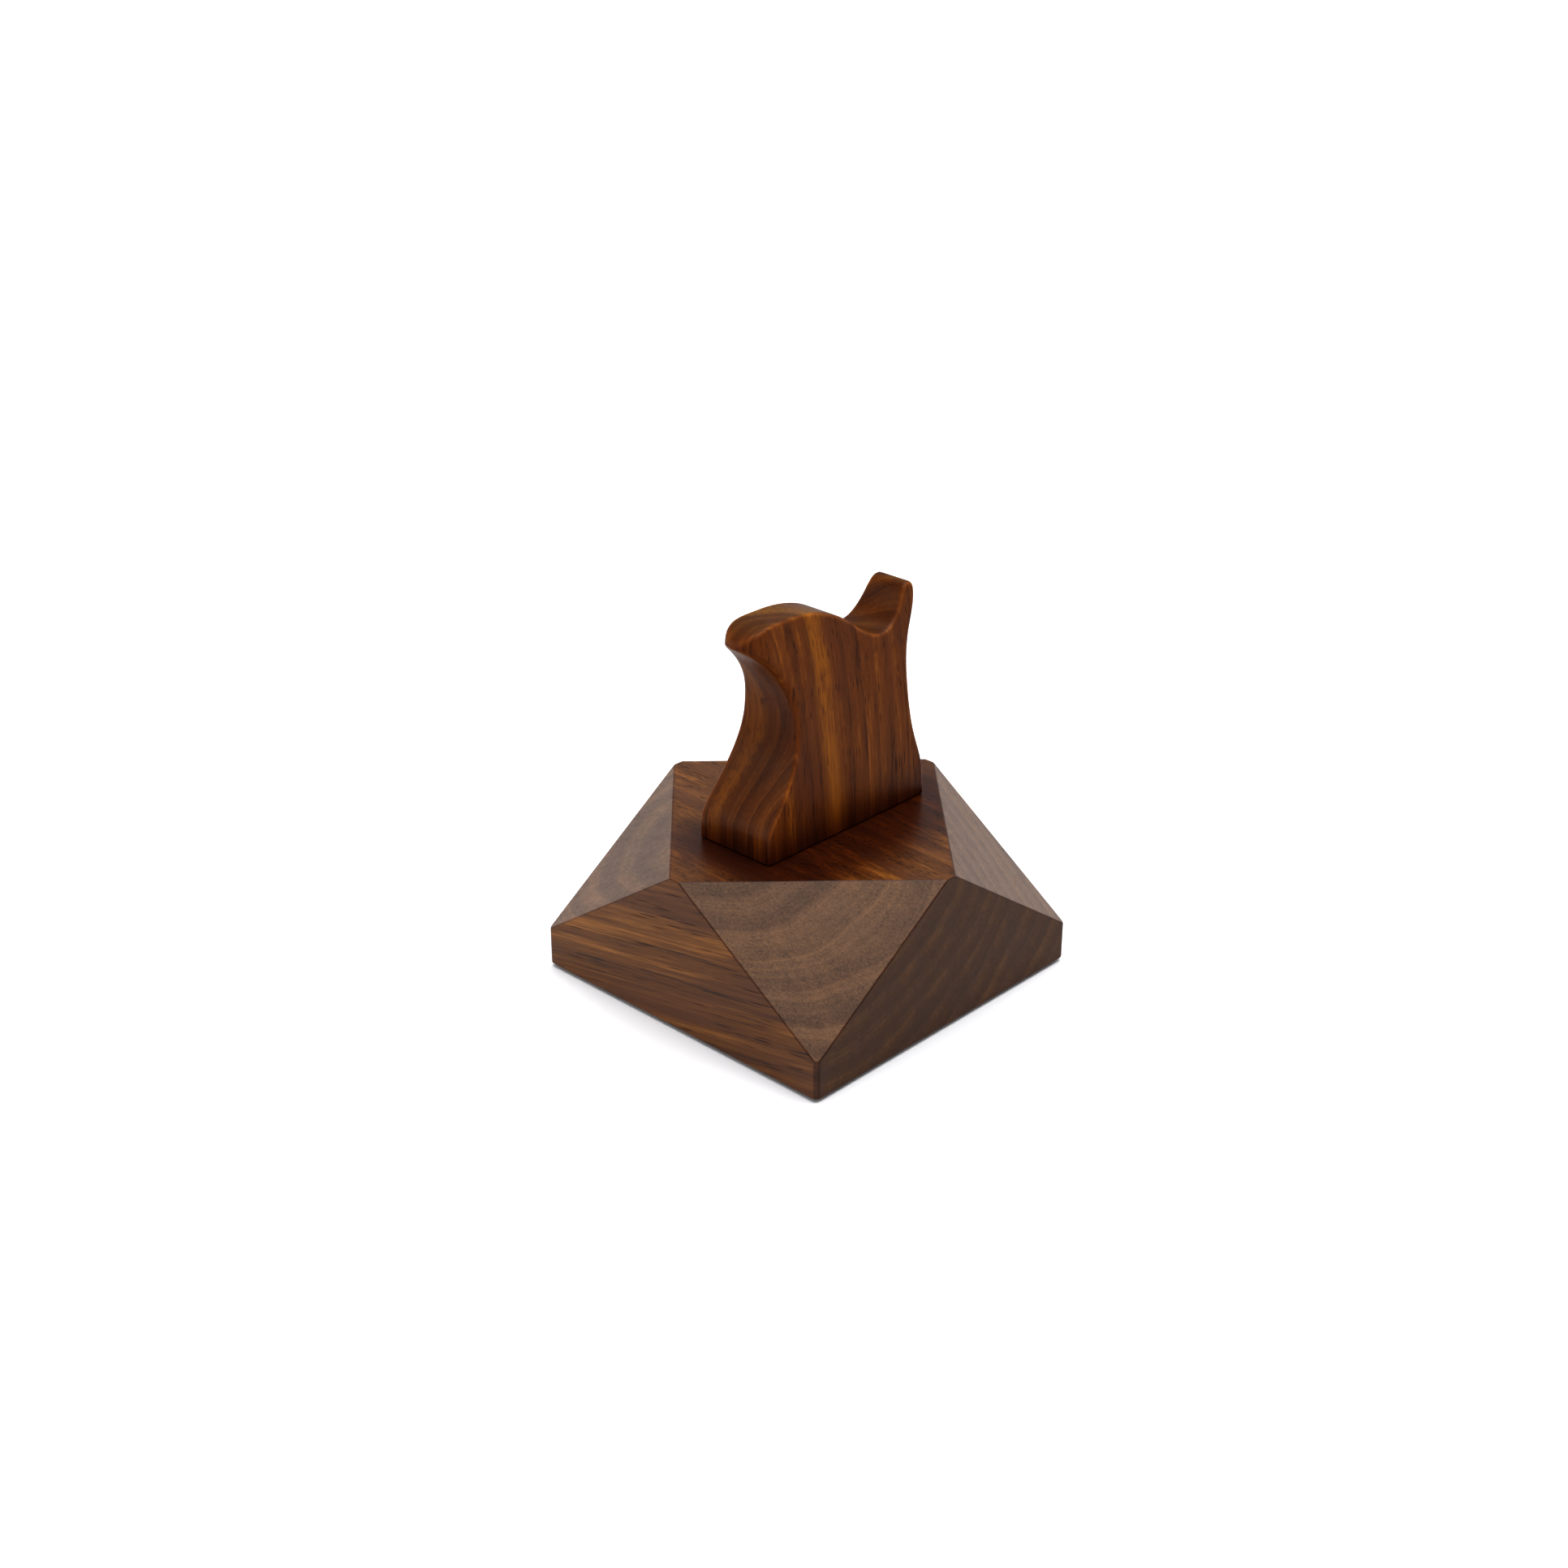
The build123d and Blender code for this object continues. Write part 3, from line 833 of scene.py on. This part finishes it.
def outline_distance(spots):
    """Signed distance from points (Y, Z) to the side view, below zero inside it, and how it rises.

    A point on the outline itself has no way to it, so there the outline's own outward way is taken.
    """
    run = np.roll(side_view, -1, axis=0) - side_view
    length = (run ** 2).sum(axis=1)
    outward = np.stack((-run[:, 1], run[:, 0]), axis=1) / np.sqrt(length)[:, None]
    distance, slope = np.empty(len(spots)), np.empty((len(spots), 2))
    for first in range(0, len(spots), spots_at_once):
        part = slice(first, first + spots_at_once)
        y_off = spots[part, :1] - side_view[:, 0]
        z_off = spots[part, 1:] - side_view[:, 1]
        share = np.clip((y_off * run[:, 0] + z_off * run[:, 1]) / length, 0.0, 1.0)
        y_away, z_away = y_off - share * run[:, 0], z_off - share * run[:, 1]
        nearest = (np.arange(len(y_away)), (y_away ** 2 + z_away ** 2).argmin(axis=1))
        away = np.stack((y_away[nearest], z_away[nearest]), axis=1)
        near = np.maximum(np.hypot(away[:, 0], away[:, 1]), 1e-9)
        below, next_below = z_off < 0, z_off < run[:, 1]
        crossing = z_off / np.where(run[:, 1] == 0, 1.0, run[:, 1]) * run[:, 0]
        crossed = (below != next_below) & (y_off < crossing)
        sign = np.where(crossed.sum(axis=1) % 2 == 1, -1.0, 1.0)
        distance[part] = sign * near
        is_on_outline = near[:, None] < on_outline_within
        slope[part] = np.where(is_on_outline, outward[nearest[1]], away / near[:, None] * sign[:, None])
    return distance, slope


def rounded_join(first, second, radius):
    """The space inside both fields, with the corner between them rounded."""
    first_in, second_in = np.maximum(first + radius, 0.0), np.maximum(second + radius, 0.0)
    corner = np.sqrt(first_in ** 2 + second_in ** 2) - radius
    return np.where((first_in > 0) & (second_in > 0), corner, np.maximum(first, second))


def step_up(value, start, end):
    """A smooth step from 0 at start to 1 at end."""
    share = np.clip((value - start) / (end - start), 0.0, 1.0)
    return share * share * (3 - 2 * share)


def edge_roundness(y, z):
    """How round the sander left the edges: crisp at the foot and crest, soft under the nose."""
    front = 0.8 + 0.8 * step_up(z, 18, 40) + 0.9 * step_up(z, 40, 52)
    front = front - 1.5 * step_up(z, 59, 66.5)
    rear = 0.8 + 0.5 * step_up(z, 15, 45)
    return front + (rear - front) * step_up(y, -12, 2)


def side_field(x, y, z):
    """Distance to the post's tapered sides and to its nose, round when seen from above."""
    half = flank_centre[0] + np.sqrt(flank_radius ** 2 - (z - flank_centre[1]) ** 2)
    flanks = np.abs(x) - half
    ahead = np.minimum(y - nose_centre, 0.0) / nose_radius
    nose = half * (np.sqrt((x / half) ** 2 + ahead ** 2) - 1.0)
    return np.where((z > nose_starts) & (y < nose_centre), nose, flanks)


def post_field(x, y, z, outline):
    """The post's field, from a point and its distance to the side view."""
    wood = rounded_join(outline, side_field(x, y, z), edge_roundness(y, z))
    wood = rounded_join(wood, -z, 0.4)
    for place in pilot_places:
        pilot = np.maximum(np.hypot(x, y - place) - screw_radius / mm, z - pilot_depth)
        wood = np.maximum(wood, -pilot)
    return wood


print("flank arc: centre", flank_centre.round(1), "radius", round(flank_radius, 1))

# %% [markdown]
# Now the field becomes a mesh. Space is cut into small cubes, and each cube that the surface crosses
# gets one point, where its edges are crossed on average. Each crossed edge then joins the four cubes
# round it with one face. The points are last moved onto the surface exactly, along the field's slope,
# and that slope also gives the normals that the light needs.

# %% From field to mesh
def net_over(field, origin, step):
    """Points and four-sided faces of the surface where a field of cubes crosses zero."""
    inside = field < 0
    cubes = tuple(size - 1 for size in field.shape)

    def corner_values(values, corner):
        return values[tuple(slice(low, low + size) for low, size in zip(corner, cubes))]

    corners = [(a, b, c) for a in (0, 1) for b in (0, 1) for c in (0, 1)]
    full = sum(corner_values(inside, corner).astype(int) for corner in corners)
    crossed = (full > 0) & (full < 8)
    number = np.full(cubes, -1)
    number[crossed] = np.arange(crossed.sum())
    total, count = np.zeros((crossed.sum(), 3)), np.zeros(crossed.sum())
    for axis in range(3):
        for corner in corners:
            if corner[axis] == 1:
                continue
            far = tuple(1 if way == axis else corner[way] for way in range(3))
            near_value = corner_values(field, corner)[crossed]
            far_value = corner_values(field, far)[crossed]
            here = (near_value < 0) != (far_value < 0)
            gap = np.where(here, near_value - far_value, 1.0)
            spot = np.tile(np.array(corner, float), (len(here), 1))
            spot[:, axis] = near_value / gap
            total += spot * here[:, None]
            count += here
    points = (np.argwhere(crossed) + total / count[:, None]) * step + origin
    faces = []
    for axis in range(3):
        side, other = (axis + 1) % 3, (axis + 2) % 3
        low = inside.take(range(cubes[axis]), axis=axis)
        high = inside.take(range(1, cubes[axis] + 1), axis=axis)
        edges = np.argwhere(low != high)
        leaving = low[tuple(edges.T)]
        around = []
        for side_step, other_step in ((0, 0), (-1, 0), (-1, -1), (0, -1)):
            cube = edges.copy()
            cube[:, side] += side_step
            cube[:, other] += other_step
            around.append(number[tuple(cube.T)])
        quad = np.stack(around, axis=1)
        quad[~leaving] = quad[~leaving][:, ::-1]
        faces.append(quad)
    return points, np.vstack(faces)


def field_and_slope(points, reach=0.05):
    """The post's field at points given in millimetres, and how it rises along each axis."""
    outline, outline_slope = outline_distance(points[:, 1:])
    value = post_field(*points.T, outline)
    slope = np.empty_like(points)
    for axis in range(3):
        ends = []
        for way in (reach, -reach):
            shifted = points.copy()
            shifted[:, axis] += way
            outline_there = outline + (way * outline_slope[:, axis - 1] if axis > 0 else 0.0)
            ends.append(post_field(*shifted.T, outline_there))
        slope[:, axis] = (ends[0] - ends[1]) / (2 * reach)
    return value, slope


cube_size = 0.6
margin = 1.5
across_reach = cube_size * math.ceil((foot_half + margin) / cube_size)
x_axis = np.arange(-across_reach, across_reach + cube_size / 2, cube_size)
y_axis = np.arange(lip[0] - margin, horn_back[0] + margin, cube_size)
z_axis = np.arange(-margin, crest_level + margin, cube_size)
y_grid, z_grid = np.meshgrid(y_axis, z_axis, indexing="ij")
outline_grid, _ = outline_distance(np.stack((y_grid.ravel(), z_grid.ravel()), axis=1))
outline_grid = outline_grid.reshape(y_grid.shape)
field = post_field(x_axis[:, None, None], y_grid[None], z_grid[None], outline_grid[None])
net_points, net_faces = net_over(field, np.array((x_axis[0], y_axis[0], z_axis[0])), cube_size)
for _ in range(2):
    value, slope = field_and_slope(net_points)
    move = -value / np.maximum((slope ** 2).sum(axis=1), 0.2)
    net_points = net_points + slope * np.clip(move, -0.3, 0.3)[:, None]
print("post net:", len(net_points), "points,", len(net_faces), "faces")

# %% The post as a piece
post_points = net_points * mm + np.array((0.0, 0.0, post_low.z))
nose_post = new_piece("nose_post_wood", post_points.tolist(), net_faces.tolist())
normals = field_and_slope(net_points)[1]
normals = normals / np.maximum(np.linalg.norm(normals, axis=1), 1e-9)[:, None]
nose_post.data.polygons.foreach_set("use_smooth", [True] * len(nose_post.data.polygons))
nose_post.data.normals_split_custom_set_from_vertices(normals.tolist())
# The arris attribute marks the post's edges, where its material paints a highlight.
outline = outline_distance(net_points[:, 1:])[0]
sides = side_field(*net_points.T)
arris = nose_post.data.attributes.new("arris", "FLOAT", "POINT")
arris.data.foreach_set("value", np.exp(-((outline - sides) / 0.9) ** 2) * np.exp(-(outline / 0.7) ** 2))
finish_piece(nose_post, ["nose_post"], post_walnut)

# %% [markdown]
# ## Screws
#
# Two pan-head wood screws come up through the block into the post. Only their heads show, from below,
# but a screw is worth making whole: the thread is a small wave that climbs one pitch in each turn, so a
# single closed skin can carry it, and the driver's cross is cut into the head.

# %% Steel for the screws
def make_steel(name):
    """Zinc plating: bright, a little cloudy."""
    material, tree, surface = new_material(name)
    place = tree.nodes.new("ShaderNodeTexCoord")
    clouds_per_metre, grains_per_metre = 900.0, 6000.0
    cloud = noise_node(tree, place.outputs["Object"], clouds_per_metre, 3.0, 0.6)
    grain = noise_node(tree, place.outputs["Object"], grains_per_metre, 2.0, 0.6)
    shade = blend_colours(tree, cloud, (0.52, 0.51, 0.47, 1.0), (0.72, 0.71, 0.68, 1.0))
    feed(tree, surface.inputs["Base Color"], shade)
    feed(tree, surface.inputs["Roughness"], rise(tree, cloud, 0.2, 0.8, 0.26, 0.44))
    relief = tree.nodes.new("ShaderNodeBump")
    relief.inputs["Distance"].default_value = 0.01 * mm
    feed(tree, relief.inputs["Height"], grain)
    feed(tree, surface.inputs["Normal"], relief.outputs["Normal"])
    surface.inputs["Metallic"].default_value = 1.0
    return material


screw_steel = make_steel("screw_steel")

# %% One screw
thread_pitch = 2.0 * mm
thread_depth = 0.7 * mm
thread_part = 0.6
tip_length = 6.0 * mm
head_round = 1.3 * mm
recess_span, recess_width, recess_depth = 4.6 * mm, 1.0 * mm, 1.7 * mm
screw_sides = 36
ridge_share = 0.3
point_radius = 0.05 * mm


def thread_radius(height, top, start):
    """Radius of the thread at each angle, for one level of the screw."""
    fade = min(1.0, max(0.0, (height - start) / (2 * thread_pitch)))
    taper = min(1.0, (top - height) / tip_length)

    def at(angle):
        turn_share = (height / thread_pitch - angle / (2 * math.pi)) % 1.0
        wave = max(0.0, 1 - abs(turn_share - 0.5) / ridge_share)
        root = screw_radius - thread_depth * fade
        return max(point_radius, (root + thread_depth * fade * wave) * taper)

    return at


def make_screw(name, centre, low, top):
    """A pan-head wood screw, head down."""
    seat = low + head_height
    start = seat + (top - seat) * (1 - thread_part)
    profile = []
    for step in range(6):
        angle = math.pi / 2 * step / 5
        reach = head_radius - head_round + head_round * math.sin(angle)
        profile.append((reach, low + head_round * (1 - math.cos(angle))))
    profile += [(head_radius, seat), (screw_radius, seat), (screw_radius, start)]
    rings = [ring(radius, height, centre, screw_sides) for radius, height in profile]
    levels = int((top - start) / (thread_pitch / 8))
    for level in range(1, levels):
        height = start + (top - start) * level / levels
        rings.append(ring(thread_radius(height, top, start), height, centre, screw_sides))
    points, faces = skin_of_rings(rings, (*centre, low), (*centre, top))
    screw = new_piece(name, points, faces)
    for turn_by in (0, 90):
        cutter_mesh = bmesh.new()
        bmesh.ops.create_cube(cutter_mesh, size=1.0)
        stretch = Matrix.Diagonal((recess_span, recess_width, 2 * recess_depth, 1.0))
        place = Matrix.Translation((*centre, low)) @ Matrix.Rotation(math.radians(turn_by), 4, "Z")
        bmesh.ops.transform(cutter_mesh, matrix=place @ stretch, verts=cutter_mesh.verts)
        mesh = bpy.data.meshes.new("cross")
        cutter_mesh.to_mesh(mesh)
        cutter_mesh.free()
        cutter = bpy.data.objects.new("cross", mesh)
        scene.collection.objects.link(cutter)
        cut_away(screw, cutter)
    smooth_with_flat_faces(screw, 40)
    return screw


for node in screw_nodes:
    low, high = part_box(node)
    screw = make_screw(node + "_steel", middle_of(node), low.z, high.z)
    finish_piece(screw, [node], screw_steel)

# %% [markdown]
# ## Rubber pads
#
# Each pad is a moulded disc with a ring of small round feet that grip the table. The feet repeat, so
# Geometry Nodes place them: one foot is made once, set out on circles, joined to the disc and moved to
# where the CAD has that pad. The same tree makes all four.

# %% Rubber for the pads
def make_rubber(name):
    """Black rubber, matt, with the fine skin of a moulding."""
    material, tree, surface = new_material(name)
    place = tree.nodes.new("ShaderNodeTexCoord")
    bumps_per_metre, patches_per_metre = 3500.0, 260.0
    skin = noise_node(tree, place.outputs["Object"], bumps_per_metre, 3.0, 0.6)
    dust = noise_node(tree, place.outputs["Object"], patches_per_metre, 3.0, 0.6)
    clean, dusty = (0.012, 0.012, 0.013, 1.0), (0.04, 0.037, 0.034, 1.0)
    shade = blend_colours(tree, rise(tree, dust, 0.5, 0.8), clean, dusty)
    feed(tree, surface.inputs["Base Color"], shade)
    feed(tree, surface.inputs["Roughness"], rise(tree, skin, 0.2, 0.8, 0.6, 0.85))
    relief = tree.nodes.new("ShaderNodeBump")
    relief.inputs["Distance"].default_value = 0.03 * mm
    feed(tree, relief.inputs["Height"], skin)
    feed(tree, surface.inputs["Normal"], relief.outputs["Normal"])
    return material


pad_rubber = make_rubber("pad_rubber")


# %% The pad's tree
def make_pad_tree():
    """Geometry Nodes for one pad: a disc and rings of small feet, joined and moved to its place."""
    tree = bpy.data.node_groups.new("moulded_pad", "GeometryNodeTree")
    tree.interface.new_socket("Geometry", in_out="OUTPUT", socket_type="NodeSocketGeometry")
    labels = ("Radius", "Thickness", "Foot Radius", "Foot Height", "Ring Gap")
    for label in labels:
        tree.interface.new_socket(label, in_out="INPUT", socket_type="NodeSocketFloat")
    tree.interface.new_socket("Place", in_out="INPUT", socket_type="NodeSocketVector")
    tree.interface.new_socket("Material", in_out="INPUT", socket_type="NodeSocketMaterial")
    given = tree.nodes.new("NodeGroupInput").outputs
    result = tree.nodes.new("NodeGroupOutput")

    def add(kind, **sockets):
        node = tree.nodes.new(kind)
        for label, value in sockets.items():
            feed(tree, node.inputs[label.replace("_", " ")], value)
        return node

    disc_height = math_node(tree, "SUBTRACT", given["Thickness"], given["Foot Height"])
    disc = add("GeometryNodeMeshCylinder", Vertices=64, Radius=given["Radius"], Depth=disc_height)
    lift = math_node(tree, "MULTIPLY_ADD", disc_height, 0.5, given["Foot Height"])
    lift_vector = add("ShaderNodeCombineXYZ", Z=lift)
    disc_mesh = disc.outputs["Mesh"]
    disc_placed = add("GeometryNodeTransform", Geometry=disc_mesh, Translation=lift_vector.outputs[0])
    foot_ball = add("GeometryNodeMeshUVSphere", Segments=16, Rings=10, Radius=given["Foot Radius"])
    squeeze = math_node(tree, "DIVIDE", given["Foot Height"], given["Foot Radius"])
    squeeze_vector = add("ShaderNodeCombineXYZ", X=1.0, Y=1.0, Z=squeeze)
    foot_lift = add("ShaderNodeCombineXYZ", Z=given["Foot Height"])
    foot = add(
        "GeometryNodeTransform",
        Geometry=foot_ball.outputs["Mesh"],
        Translation=foot_lift.outputs[0],
        Scale=squeeze_vector.outputs[0],
    )
    spots = add("GeometryNodeJoinGeometry")
    for circle_number, count in enumerate((1, 6, 12)):
        ring_radius = math_node(tree, "MULTIPLY", given["Ring Gap"], circle_number)
        circle = add("GeometryNodeMeshCircle", Vertices=max(count, 3), Radius=ring_radius)
        tree.links.new(circle.outputs["Mesh"], spots.inputs["Geometry"])
    merged = add("GeometryNodeMergeByDistance", Geometry=spots.outputs["Geometry"], Distance=0.1 * mm)
    points, one_foot = merged.outputs["Geometry"], foot.outputs["Geometry"]
    feet = add("GeometryNodeInstanceOnPoints", Points=points, Instance=one_foot)
    real_feet = add("GeometryNodeRealizeInstances", Geometry=feet.outputs["Instances"])
    union = tree.nodes.new("GeometryNodeMeshBoolean")
    union.operation = "UNION"
    union.solver = "EXACT"
    for part in (real_feet.outputs["Geometry"], disc_placed.outputs["Geometry"]):
        tree.links.new(part, union.inputs["Mesh 2"])
    placed = add("GeometryNodeTransform", Geometry=union.outputs["Mesh"], Translation=given["Place"])
    real = add("GeometryNodeRealizeInstances", Geometry=placed.outputs["Geometry"])
    coloured = add("GeometryNodeSetMaterial", Geometry=real.outputs["Geometry"], Material=given["Material"])
    tree.links.new(coloured.outputs["Geometry"], result.inputs["Geometry"])
    return tree


pad_tree = make_pad_tree()


def make_pad(node):
    """One pad, made by the tree with its own inputs."""
    low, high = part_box(node)
    piece = new_piece(node + "_rubber", [], [])
    maker = piece.modifiers.new("pad", "NODES")
    maker.node_group = pad_tree
    values = {
        "Radius": (high.x - low.x) / 2,
        "Thickness": high.z - low.z,
        "Foot Radius": 0.8 * mm,
        "Foot Height": 0.35 * mm,
        "Ring Gap": 2.7 * mm,
        "Place": (*middle_of(node), low.z),
        "Material": pad_rubber,
    }
    for socket in pad_tree.interface.items_tree:
        if socket.in_out == "INPUT":
            maker[socket.identifier] = values[socket.name]
    settle(piece)
    return piece


for node in pad_nodes:
    pad = make_pad(node)
    smooth_with_flat_faces(pad, 40)
    finish_piece(pad, [node], pad_rubber)

# %% [markdown]
# ## Table and light
#
# The stand is shown on a plain pale table that fades into a bright horizon. A lit ceiling is a sun with
# a very wide angle, because it lights the whole table evenly and draws only a thin shadow along the
# block's foot. A weak square lamp at the front left warms that side. The room is bright near the horizon
# and dimmer above, so that the top of the block keeps its depth.

# %% Table
def make_table_top():
    """A large pale disc that the stand is on."""
    material, _, surface = new_material("pale_table")
    surface.inputs["Base Color"].default_value = (0.8, 0.8, 0.81, 1.0)
    surface.inputs["Roughness"].default_value = 0.9
    surface.inputs["Specular IOR Level"].default_value = 0.1
    profile = [(12.0, -0.02), (12.0, 0.0)]
    table_top = new_piece("table_top", *lathe(profile, (0.0, 0.0), 96))
    table_top.data.materials.append(material)


make_table_top()

# %% Room and lamps
def make_room():
    """The world: bright at the horizon and dimmer above."""
    world = bpy.data.worlds.new("room")
    scene.world = world
    world.use_nodes = True
    tree = world.node_tree
    background = tree.nodes["Background"]
    place = tree.nodes.new("ShaderNodeTexCoord")
    axes = tree.nodes.new("ShaderNodeSeparateXYZ")
    feed(tree, axes.inputs[0], place.outputs["Generated"])
    height = rise(tree, axes.outputs["Z"], 0.02, 0.35)
    shade = blend_colours(tree, height, (1.0, 1.0, 1.0, 1.0), (0.42, 0.43, 0.45, 1.0))
    feed(tree, background.inputs["Color"], shade)
    background.inputs["Strength"].default_value = 1.0


def add_lamp(name, size, power, place, aim, colour):
    """A square soft lamp that looks at a point."""
    data = bpy.data.lights.new(name, "AREA")
    data.shape = "SQUARE"
    data.size = size
    data.energy = power
    data.color = colour
    lamp = bpy.data.objects.new(name, data)
    lamp.location = place
    lamp.rotation_mode = "QUATERNION"
    lamp.rotation_quaternion = (Vector(place) - Vector(aim)).to_track_quat("Z", "Y")
    scene.collection.objects.link(lamp)


def add_sky_lamp(name, spread, strength, direction):
    """A lamp as wide as a lit ceiling, the same all over the table."""
    data = bpy.data.lights.new(name, "SUN")
    data.angle = math.radians(spread)
    data.energy = strength
    lamp = bpy.data.objects.new(name, data)
    lamp.rotation_mode = "QUATERNION"
    lamp.rotation_quaternion = Vector(direction).to_track_quat("Z", "Y")
    scene.collection.objects.link(lamp)


make_room()
add_sky_lamp("ceiling", 60.0, 2.6, (0.1, 0.1, 1.0))
add_lamp("front_left", 0.8, 3.0, (-0.9, -1.2, 0.7), (0.0, 0.0, 0.05), (1.0, 0.97, 0.93))
scene.view_settings.view_transform = "Standard"
scene.view_settings.look = "High Contrast"
